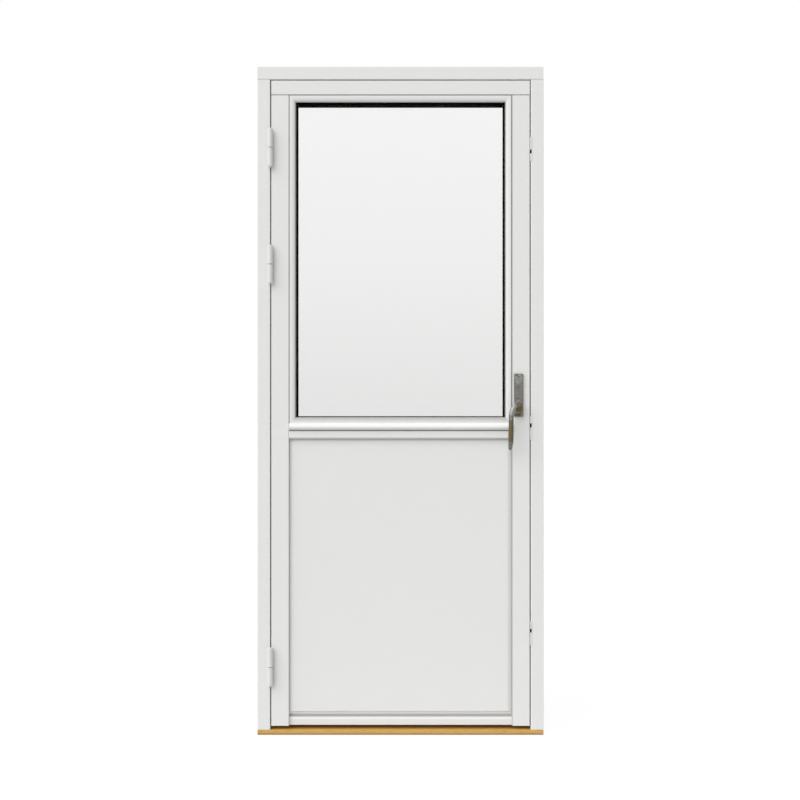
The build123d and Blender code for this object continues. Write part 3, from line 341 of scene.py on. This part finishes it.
def cross_screw(bm, seat, way, length, shank, head):
    """Countersunk screw from its head at the seat along a way, with a tapered cross recess."""
    before = set(bm.verts)
    arm = head * CROSS_REACH
    bmesh.ops.create_grid(bm, x_segments=3, y_segments=3, size=arm)
    cells = {face: face.calc_center_median()
             for vert in bm.verts if vert not in before for face in vert.link_faces}
    corners = [face for face, middle in cells.items() if min(abs(middle.x), abs(middle.y)) > arm / 2]
    bmesh.ops.delete(bm, geom=corners, context="FACES")
    cross = [face for face in cells if face.is_valid]
    rim = [edge for face in cross for edge in face.edges if len(edge.link_faces) == 1]
    circle = bmesh.ops.create_circle(bm, cap_ends=False, radius=head, segments=HEAD_SIDES)
    ring = list(dict.fromkeys(edge for vert in circle["verts"] for edge in vert.link_edges))
    bmesh.ops.bridge_loops(bm, edges=rim + ring)
    recess = bmesh.ops.extrude_face_region(bm, geom=cross)["geom"]
    recess_verts = [part for part in recess if isinstance(part, bmesh.types.BMVert)]
    bmesh.ops.delete(bm, geom=[face for face in cross if face.is_valid], context="FACES_ONLY")
    bmesh.ops.scale(bm, verts=recess_verts, vec=(CROSS_TAPER, CROSS_TAPER, 1))
    bmesh.ops.translate(bm, verts=recess_verts, vec=(0, 0, head * CROSS_DEPTH))
    outline = ((head - shank, shank), (length - 2 * shank, shank), (length, shank * SCREW_POINT))
    for depth, radius in outline:
        drawn = bmesh.ops.extrude_edge_only(bm, edges=ring)["geom"]
        ring = [part for part in drawn if isinstance(part, bmesh.types.BMEdge)]
        for vert in [part for part in drawn if isinstance(part, bmesh.types.BMVert)]:
            vert.co = Vector((vert.co.x, vert.co.y, 0)).normalized() * radius + Vector((0, 0, depth))
    bmesh.ops.contextual_create(bm, geom=ring)
    turn = Vector(way).to_track_quat("Z", "Y").to_matrix().to_4x4()
    bmesh.ops.transform(bm, matrix=Matrix.Translation(seat) @ turn,
                        verts=[vert for vert in bm.verts if vert not in before])


def screws(name, packed, body, seats, way, length, shank=SCREW_SHANK, head=SCREW_HEAD,
           material=zinc_material):
    """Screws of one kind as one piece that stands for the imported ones."""
    bm = bmesh.new()
    for seat in seats:
        cross_screw(bm, seat, way, length, shank, head)
    bmesh.ops.remove_doubles(bm, verts=bm.verts, dist=SAME_PLACE)
    bmesh.ops.recalc_face_normals(bm, faces=bm.faces)
    mesh = bpy.data.meshes.new(name)
    bm.to_mesh(mesh)
    bm.free()
    mesh.materials.append(material)
    piece = bpy.data.objects.new(name, mesh)
    bpy.context.scene.collection.objects.link(piece)
    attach(piece, body)
    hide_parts(packed)


HINGE_SCREW_L, REBATE_DEPTH = 0.030, 0.0395
HINGE_SCREW_PAIRS = ((-0.044, 0.042), (-0.033, 0.016))


def hinge_seats(plate_x):
    """Seats of the screws in one half of each hinge: two pairs, above and below its middle."""
    seats = []
    for place in PLACES:
        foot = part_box(f"{place}_hinge_frame_half")[0].z
        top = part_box(f"{place}_hinge_leaf_half")[1].z
        for y, rise in HINGE_SCREW_PAIRS:
            seats += [Vector((plate_x, y, (foot + top) / 2 + way * rise)) for way in (1, -1)]
    return seats


screws("jamb_hinge_screws", "hinge_frame_screws", "frame",
       hinge_seats(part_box("hinge_jamb")[0].x + REBATE_DEPTH), (-1, 0, 0), HINGE_SCREW_L)
screws("stile_hinge_screws", "hinge_leaf_screws", "leaf",
       hinge_seats(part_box("hinge_stile")[0].x), (1, 0, 0), HINGE_SCREW_L)

# Keeps: three zinc castings let into the lock jamb, each a pocket that a roller cam slides
# behind. They are lacquered pale grey over the grain of their mould, and bare where it wears.
# Two countersunk screws hold each of them, above and below the pocket.

LACQUER, LACQUER_BARE, KEEP_RELIEF = (0.68, 0.68, 0.67, 1), (0.50, 0.50, 0.485, 1), 0.00004
MOULD_SPOTS, BARE_SPOTS, BARE_FROM, BARE_FULL, BARE_MOST = 260, 70, 0.52, 0.68, 0.7
KEEP_SCREW_Y, KEEP_SCREW_RISE, KEEP_SCREW_L = -0.042, 0.029, 0.028

keep = Finish(bpy.data.materials.new("lacquered_zinc"))
mould = keep.noise(MOULD_SPOTS, 3)
bare = keep.faded(keep.noise(BARE_SPOTS, 3), BARE_FROM, BARE_FULL, 0.0, BARE_MOST)
keep_material = keep.surface(mould, KEEP_RELIEF, {
    "Base Color": keep.mixed(bare, LACQUER, LACQUER_BARE),
    "Metallic": bare,
    "Roughness": 0.46 + mould * 0.12})
keep_seats = []
for place in PLACES:
    dress(keep_material, "zinc_steel", f"{place}_keep")
    low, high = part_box(f"{place}_keep")
    keep_seats += [Vector((low.x, KEEP_SCREW_Y, (low.z + high.z) / 2 + way * KEEP_SCREW_RISE))
                   for way in (1, -1)]
screws("jamb_keep_screws", "keep_screws", "frame", keep_seats, (1, 0, 0), KEEP_SCREW_L)

# Leaf stiles: two upright pine pieces with the glass and panel rebated into them, painted white.
# The top rail lies over them, and a V is cut along that joint and beside the beads. Painted shade
# darkens that joint and both V's, most on the lock side, and their rebates are painted whiter as
# painted light.

STILE_EDGE, TOP_JOINT_Z = 0.347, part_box("hinge_stile")[1].z
dress(painted("paint_stiles", UPRIGHT, True,
              ("X", -STILE_EDGE, 0.0008, 0.0035, 0.2),
              ("X", STILE_EDGE, 0.0008, 0.0035, 0.75),
              ("Z", TOP_JOINT_Z, 0.0006, 0.003, 0.7)), "painted_timber", "hinge_stile", "lock_stile")

# Leaf rails: top rail over the stiles, mid rail under the glass and bottom rail with its lip.
# The grain and the brush marks run level, across the stiles' own. Painted shade lies in the quirk
# under the nosing, along the mid rail's lower edge, along the top rail's joint and at the foot of the
# lip, with a painted highlight on the lip's top; the top rail is painted whiter inside its rebates.

QUIRK_Z, RAIL_EDGE_Z, LIP_FOOT_Z, LIP_TOP_Z = 0.9485, 0.922, 0.0590, 0.0502
dress(painted("paint_top_rail", LEVEL, True, ("Z", TOP_JOINT_Z, 0.0006, 0.003, 0.6)),
      "painted_timber", "top_rail")
dress(painted("paint_mid_rail", LEVEL, False,
              ("Z", QUIRK_Z, 0.0014, 0.003, 0.95),
              ("Z", RAIL_EDGE_Z, 0.002, 0.006, 0.6)), "painted_timber", "mid_rail")
dress(painted("paint_bottom_rail", LEVEL, False,
              ("Z", LIP_FOOT_Z, 0.002, 0.006, 0.7),
              highlights=[("Z", LIP_TOP_Z, 0.001, 0.0045)]), "painted_timber", "bottom_rail")

# Dowels: fluted beech pegs glued into the rails and stiles. Their rays show as fine flecks
# along the peg.

BEECH, BEECH_RAY, BEECH_RELIEF = (0.62, 0.42, 0.25, 1), (0.48, 0.30, 0.16, 1), 0.0002
RAY_SPOTS, RAY_STRETCH = 500, (0.2, 1, 0.2)

beech = Finish(bpy.data.materials.new("beech"))
rays = beech.noise(RAY_SPOTS, 3, RAY_STRETCH)
beech_material = beech.surface(rays, BEECH_RELIEF, {
    "Base Color": beech.mixed(rays, BEECH, BEECH_RAY),
    "Roughness": 0.6 + rays * 0.1})
dress(beech_material, "beech", "leaf_dowels")

# Panel: a smooth painted board on the room side and another outdoors, with rigid foam between.
# The boards have no grain of their own, only the fine texture of the roller. A painted shadow
# darkens them under the mid rail, and painted shade darkens them beside the lock stile.

BOARD_RELIEF, ROLLER_SPOTS, CLOUD_SPOTS = 0.00008, 480, 3
BOARD_SHADE = (("Z", RAIL_EDGE_Z, 0.0, 0.026, 0.12), ("Z", RAIL_EDGE_Z, 0.0, 0.008, 0.4),
              ("X", STILE_EDGE, 0.0, 0.013, 0.35))
FOAM, FOAM_AGED, FOAM_RELIEF = (0.74, 0.70, 0.55, 1), (0.66, 0.61, 0.46, 1), 0.0003

board = Finish(bpy.data.materials.new("paint_board"))
roller = board.noise(ROLLER_SPOTS, 2)
board_cloud = board.noise(CLOUD_SPOTS, 2)
board_tone = board.mixed(board_cloud * 0.6 + roller * 0.3, PAINT, PAINT_SHADE)
# Painted shadow under the mid rail and painted shade beside the lock stile.
for *line, strength in BOARD_SHADE:
    board_tone = board.mixed(board.near(*line) * strength, board_tone, CREASE_SHADE)
board_material = board.surface(roller, BOARD_RELIEF, {
    "Base Color": board_tone,
    "Roughness": 0.4 + board_cloud * 0.1,
    "Specular IOR Level": PAINT_SHINE})
dress(board_material, "painted_timber", "panel_front_board", "panel_back_board")
dress(soft("rigid_foam", FOAM, FOAM_AGED, rough=0.8, depth=FOAM_RELIEF), "insulation", "panel_insulation")

# Glass: three float panes. Daylight falls straight through them onto what is behind.
# Their colour is painted lighter at the top and darker low down, a painted reflection of a sky
# that is brighter above, and takes some of the light. The polish has a very slight unevenness.

PANE_LIGHT_TOP, PANE_LIGHT_MIDDLE = (0.968, 0.968, 0.968, 1), (0.951, 0.951, 0.950, 1)
PANE_LIGHT_LOW, GLASS_GLINT = (0.918, 0.917, 0.916, 1), (0.12, 0.12, 0.12, 1)
GLASS_IOR, GLASS_RIPPLE, RIPPLE_SPOTS = 1.5, 0.00008, 6

glass = Finish(bpy.data.materials.new("float_glass"))
low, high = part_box("inner_pane")
climb = (glass.along("Z") - low.z) * (1 / (high.z - low.z))
# Painted reflection: the panes are lighter at the top and darker low down.
painted_reflection = glass.add("ShaderNodeValToRGB", {
    "stops": ((0.0, PANE_LIGHT_LOW), (1.0, PANE_LIGHT_TOP), (0.5, PANE_LIGHT_MIDDLE))}, {"Fac": climb})
pane = glass.add("ShaderNodeBsdfPrincipled", {}, {
    "Base Color": painted_reflection, "Roughness": 0.0, "IOR": GLASS_IOR, "Transmission Weight": 1.0,
    "Specular Tint": GLASS_GLINT, "Normal": glass.relief(glass.noise(RIPPLE_SPOTS, 1), GLASS_RIPPLE)})
clear = glass.add("ShaderNodeBsdfTransparent", {}, {"Color": PANE_LIGHT_MIDDLE})
shadow = glass.add("ShaderNodeLightPath", {}, {}, "Is Shadow Ray")
lit_pane = glass.add("ShaderNodeMixShader", {}, {0: shadow, 1: pane, 2: clear})
glass.add("ShaderNodeOutputMaterial", {}, {"Surface": lit_pane})
dress(glass.owner, "glass", "outer_pane", "middle_pane", "inner_pane")

# Spacers: bent bars of plastic and steel that hold the panes apart all round. They are dead
# black and have no shine, so their band shows as one dark line round the glass.

SPACER_BLACK, SPACER_DUSTY = (0.0045, 0.0045, 0.0045, 1), (0.006, 0.006, 0.006, 1)
dress(soft("black_spacer", SPACER_BLACK, SPACER_DUSTY, rough=0.85, shine=0.0),
      "black_spacer", "glass_spacers")

# Sealant, tapes and packers: black sealant fills the unit's edge outside the spacers, and soft
# dark tapes bed the glass on its lips and beads. Grey plastic packers carry the unit's weight on
# the rebate.

SEALANT, SEALANT_DUSTY = (0.02, 0.02, 0.02, 1), (0.04, 0.04, 0.038, 1)
TAPE, TAPE_DUSTY = (0.10, 0.10, 0.098, 1), (0.14, 0.14, 0.135, 1)
PACKER, PACKER_DUSTY = (0.12, 0.14, 0.13, 1), (0.16, 0.18, 0.17, 1)
dress(soft("edge_sealant", SEALANT, SEALANT_DUSTY, rough=0.55), "sealant", "glass_edge_seals")
dress(soft("glazing_tape", TAPE, TAPE_DUSTY, rough=0.7), "glazing_tape", "glazing_tapes")
dress(soft("packer_plastic", PACKER, PACKER_DUSTY, rough=0.45), "setting_block", "setting_blocks")

# Glazing beads: mitred pine mouldings pinned round the glass, with a nosing on the lowest one.
# Painted shade lies along the glass, in the joints beside the stiles and the top rail, in a wide
# band beside the glass on the left, top and bottom beads, and below the nosing. A painted highlight
# lies on the nosing's round.

SIGHT_X, SIGHT_TOP_Z, SIGHT_LOW_Z = 0.3255, 1.9713, 0.9896
NOSE_Z, NOSE_FOOT_Z = 0.9655, 0.950
# Painted shade along the glass and the joints, with a wider band of it on the left bead.
for bead, side, shade_band in (("left_bead", -1, 0.3), ("right_bead", 1, 0.0)):
    dress(painted("paint_" + bead, UPRIGHT, False,
                  ("X", side * STILE_EDGE, 0.0006, 0.0035, 0.65),
                  ("X", side * SIGHT_X, 0.0014, 0.0044, 1.0),
                  ("X", side * SIGHT_X, 0.0, 0.009, shade_band)), "painted_timber", bead)
dress(painted("paint_top_bead", LEVEL, False,
              ("Z", TOP_JOINT_Z, 0.0006, 0.0035, 0.6),
              ("Z", SIGHT_TOP_Z, 0.0, 0.009, 0.3)), "painted_timber", "top_bead")
dress(painted("paint_bottom_bead", LEVEL, False,
              ("Z", SIGHT_LOW_Z, 0.0016, 0.016, 0.8),
              ("Z", NOSE_FOOT_Z, 0.002, 0.009, 0.25),
              highlights=[("Z", NOSE_Z, 0.004, 0.0085)]), "painted_timber", "bottom_bead")

# Drip bar: mill-finished aluminium section across the outside of the bottom rail, which throws
# rain clear of the threshold. Its drawn surface has fine lines along it.
# Four countersunk screws through its flange hold it to the rail.

MILL, MILL_DULL, MILL_RELIEF = (0.66, 0.66, 0.66, 1), (0.55, 0.55, 0.545, 1), 0.00004
WEATHER_SPOTS, DRAWN_SPOTS, DRAWN_STRETCH = 14, 2200, (0.01, 1, 1)
DRIP_SCREW_L, DRIP_SCREW_SHANK, DRIP_SCREW_HEAD = 0.022, 0.00175, 0.0035
DRIP_SCREW_XS, DRIP_SCREW_INSET, DRIP_FLANGE = (-0.305, -0.110, 0.110, 0.305), 0.007, 0.002

aluminium = Finish(bpy.data.materials.new("drawn_aluminium"))
weather = aluminium.noise(WEATHER_SPOTS, 4)
drawn = aluminium.noise(DRAWN_SPOTS, 2, DRAWN_STRETCH)
aluminium_material = aluminium.surface(drawn, MILL_RELIEF, {
    "Base Color": aluminium.mixed(weather, MILL, MILL_DULL),
    "Metallic": 1.0,
    "Roughness": 0.34 + weather * 0.14})
dress(aluminium_material, "aluminium", "drip_bar")
low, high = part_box("drip_bar")
screws("rail_drip_screws", "drip_bar_screws", "leaf",
       [Vector((x, low.y + DRIP_FLANGE, high.z - DRIP_SCREW_INSET)) for x in DRIP_SCREW_XS], (0, -1, 0),
       DRIP_SCREW_L, DRIP_SCREW_SHANK, DRIP_SCREW_HEAD)

# Lock: a plated faceplate along the leaf's edge, with the gear case, pinion and rods behind it.
# The case's cover is riveted on. The pinion is sintered, and the rods are rolled steel.
# Two countersunk screws hold the faceplate's ends.

STRIP, STRIP_DULL = (0.52, 0.515, 0.49, 1), (0.40, 0.395, 0.37, 1)
SINTERED, SINTERED_DULL = (0.33, 0.32, 0.30, 1), (0.24, 0.235, 0.22, 1)
ROD, ROD_DULL = (0.50, 0.48, 0.42, 1), (0.38, 0.365, 0.32, 1)
FACEPLATE_SCREW_INSET, FACEPLATE_SCREW_L = 0.006, 0.024
dress(metal("plated_strip", STRIP, STRIP_DULL, rough=0.28), "zinc_steel",
      "faceplate", "gear_case", "gear_case_cover", "case_rivets")
dress(metal("sintered_steel", SINTERED, SINTERED_DULL, rough=0.36), "zinc_steel", "pinion")
dress(metal("rod_steel", ROD, ROD_DULL, rough=0.32), "zinc_steel",
      "upper_rod", "lower_rod", "upper_rod_cam", "lower_rod_cams")
low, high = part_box("faceplate")
screws("lock_faceplate_screws", "faceplate_screws", "leaf",
       [Vector((high.x, (low.y + high.y) / 2, z))
        for z in (low.z + FACEPLATE_SCREW_INSET, high.z - FACEPLATE_SCREW_INSET)],
       (-1, 0, 0), FACEPLATE_SCREW_L)

# Handle plate and lever: zinc castings plated in nickel and antiqued. The plating is brown in
# patches along the grip's face, round the boss and at the plate's foot. A painted highlight lies
# over the neck and in a line on the plate above it, the plate is lighter near its top, and two
# small dark dots show on the boss.

NICKEL, NICKEL_BRIGHT = (0.16, 0.157, 0.147, 1), (0.33, 0.33, 0.305, 1)
NICKEL_HIGHLIGHT, DOT_DARK = (0.30, 0.30, 0.28, 1), (0.02, 0.02, 0.018, 1)
PATCH_BROWN, BOSS_BROWN = (0.135, 0.100, 0.046, 1), (0.19, 0.143, 0.068, 1)
NICKEL_RELIEF, GRIP_BROWN_STRENGTH, PATCH_STRENGTH, HIGHLIGHT_STRENGTH = 0.00006, 0.95, 0.9, 0.7
SPECKLE_SPOTS, POLISH_SPOTS = 330, 60
BRIGHT_FROM, BRIGHT_FULL, BRIGHT_MOST, TOP_BRIGHTER = 0.56, 0.61, 0.9, 0.1
GRIP_BROWN_X, GRIP_BROWN_Z = ("X", 0.3398, 0.0050, 0.0058), ("Z", 0.9475, 0.0325, 0.0345)
TOP_PATCH = ((0.3672, 1.1085), (0.0120, 0.0150))
HIGHLIGHT_PATCHES = (
    ((0.3450, 1.0150), (0.0140, 0.0200)),
    ((0.3545, 1.0325), (0.0045, 0.0032)),
    ((0.3605, 1.0375), (0.0042, 0.0030)),
    ((0.3665, 1.0415), (0.0038, 0.0028)))
BOSS_PATCH = ((0.3700, 1.0190), (0.0125, 0.0135))
SMALL_PATCHES = (
    ((0.3635, 0.9965), (0.0120, 0.0042)),
    ((0.3717, 1.0020), (0.0018, 0.0080)),
    ((0.3624, 1.1205), (0.0020, 0.0040)),
    ((0.3607, 1.0845), (0.0022, 0.0022)),
    ((0.3650, 1.0795), (0.0036, 0.0022)),
    ((0.3700, 1.0840), (0.0040, 0.0018)),
    ((0.3638, 1.0475), (0.0052, 0.0022)))
BOSS_DOTS, DOT_R = ((0.3730, 1.0197), (0.3730, 1.0135)), 0.0016

nickel = Finish(bpy.data.materials.new("antiqued_nickel"))
speckles = nickel.noise(SPECKLE_SPOTS, 4)
brighter = speckles + nickel.patch(*TOP_PATCH) * TOP_BRIGHTER
bright = nickel.faded(brighter, BRIGHT_FROM, BRIGHT_FULL, 0.0, BRIGHT_MOST)
nickel_tone = nickel.mixed(bright, NICKEL, NICKEL_BRIGHT)
# Painted highlights over the neck and in a line on the plate above it.
for spot in HIGHLIGHT_PATCHES:
    nickel_tone = nickel.mixed(nickel.patch(*spot, 0.2) * HIGHLIGHT_STRENGTH, nickel_tone, NICKEL_HIGHLIGHT)
# Brown patches along the grip's face, round the boss and at the plate's foot.
grip_brown = nickel.near(*GRIP_BROWN_X) * nickel.near(*GRIP_BROWN_Z)
nickel_tone = nickel.mixed(grip_brown * GRIP_BROWN_STRENGTH, nickel_tone, PATCH_BROWN)
nickel_tone = nickel.mixed(nickel.patch(*BOSS_PATCH) * PATCH_STRENGTH, nickel_tone, BOSS_BROWN)
for spot in SMALL_PATCHES:
    nickel_tone = nickel.mixed(nickel.patch(*spot) * PATCH_STRENGTH, nickel_tone, PATCH_BROWN)
# Two small dark dots on the boss.
for dot in BOSS_DOTS:
    nickel_tone = nickel.mixed(nickel.patch(dot, (DOT_R, DOT_R), 0.1), nickel_tone, DOT_DARK)
nickel_material = nickel.surface(speckles, NICKEL_RELIEF, {
    "Base Color": nickel_tone,
    "Metallic": 1.0,
    "Roughness": 0.42 + nickel.noise(POLISH_SPOTS, 3) * 0.14})
dress(nickel_material, "nickel_plate", "handle_plate", "lever")

# Spindle and plate screws: a bright square bar carries the lever's turn to the pinion, and two
# countersunk screws, plated like the handle, hold its plate to the stile.

BAR, BAR_DULL = (0.46, 0.45, 0.43, 1), (0.34, 0.33, 0.31, 1)
PLATE_SCREW_L, PLATE_SCREW_HEAD, PLATE_SCREW_LOW, PLATE_SCREW_TOP = 0.024, 0.0042, 0.008, 0.011
dress(metal("bright_steel", BAR, BAR_DULL, rough=0.3), "zinc_steel", "spindle")
low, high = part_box("handle_plate")
screws("plate_screws", "handle_plate_screws", "leaf",
       [Vector(((low.x + high.x) / 2, low.y, z))
        for z in (low.z + PLATE_SCREW_LOW, high.z - PLATE_SCREW_TOP)],
       (0, 1, 0), PLATE_SCREW_L, head=PLATE_SCREW_HEAD, material=nickel_material)

# Floor: a wide pale floor under the threshold. It looks white where light falls on it, straight
# on, through the glass or in metal, and it keeps the soft shadow of the door.

FLOOR_HALF, FLOOR_PALE = 60.0, (0.85, 0.85, 0.85, 1)
WHITE, FLOOR_WHITENESS, SEEN_SHARE = (1, 1, 1, 1), 1.05, 0.9


def seen(finish):
    """1 for what the eye meets straight on, through the glass or in metal."""
    straight, in_metal, through = [
        finish.add("ShaderNodeLightPath", {}, {}, ray)
        for ray in ("Is Camera Ray", "Is Glossy Ray", "Is Transmission Ray")]
    return straight + in_metal + through


bm = bmesh.new()
bmesh.ops.create_grid(bm, x_segments=1, y_segments=1, size=FLOOR_HALF)
floor_mesh = bpy.data.meshes.new("floor")
bm.to_mesh(floor_mesh)
bm.free()
ground = Finish(bpy.data.materials.new("pale_floor"))
matt_floor = ground.add("ShaderNodeBsdfDiffuse", {}, {"Color": FLOOR_PALE})
white_floor = ground.add("ShaderNodeEmission", {}, {"Color": WHITE, "Strength": FLOOR_WHITENESS})
both_floors = ground.add("ShaderNodeMixShader", {}, {
    0: seen(ground) * SEEN_SHARE, 1: matt_floor, 2: white_floor})
ground.add("ShaderNodeOutputMaterial", {}, {"Surface": both_floors})
floor_mesh.materials.append(ground.owner)
floor = bpy.data.objects.new("floor", floor_mesh)
bpy.context.scene.collection.objects.link(floor)

# Daylight: a soft key from the upper left in front, and an even sky, which is white where it is
# seen, straight on, through the glass or in metal.

KEY_WAY = Vector((-0.53, -0.55, 0.645))
KEY_STRENGTH, KEY_ANGLE = 2.44, radians(64)
SKY_GREY = (0.39, 0.39, 0.39, 1)

sun = bpy.data.lights.new("key", "SUN")
sun.energy = KEY_STRENGTH
sun.angle = KEY_ANGLE
key = bpy.data.objects.new("key", sun)
key.rotation_mode = "QUATERNION"
key.rotation_quaternion = KEY_WAY.to_track_quat("Z", "Y")
bpy.context.scene.collection.objects.link(key)
bpy.context.scene.world = bpy.data.worlds.new("sky")
sky = Finish(bpy.context.scene.world)
daylight = sky.add("ShaderNodeBackground", {}, {"Color": sky.mixed(seen(sky), SKY_GREY, WHITE)})
sky.add("ShaderNodeOutputWorld", {}, {"Surface": daylight})

# Camera: looks straight at the door from about 4 m, from a little above the glass's foot. It is
# level, so the frame's sides stay upright, and the spacers above its height show their depth.

CAMERA_PLACE, CAMERA_LENS, CAMERA_WIDTH = (-0.0016, -4.0575, 1.043), 57.86, 36.0

view = bpy.data.cameras.new("camera")
view.lens = CAMERA_LENS
view.sensor_width = CAMERA_WIDTH
camera = bpy.data.objects.new("camera", view)
camera.location = CAMERA_PLACE
camera.rotation_euler = (radians(90), 0, 0)
bpy.context.scene.collection.objects.link(camera)
bpy.context.scene.camera = camera
bpy.context.scene.view_settings.view_transform = "Standard"
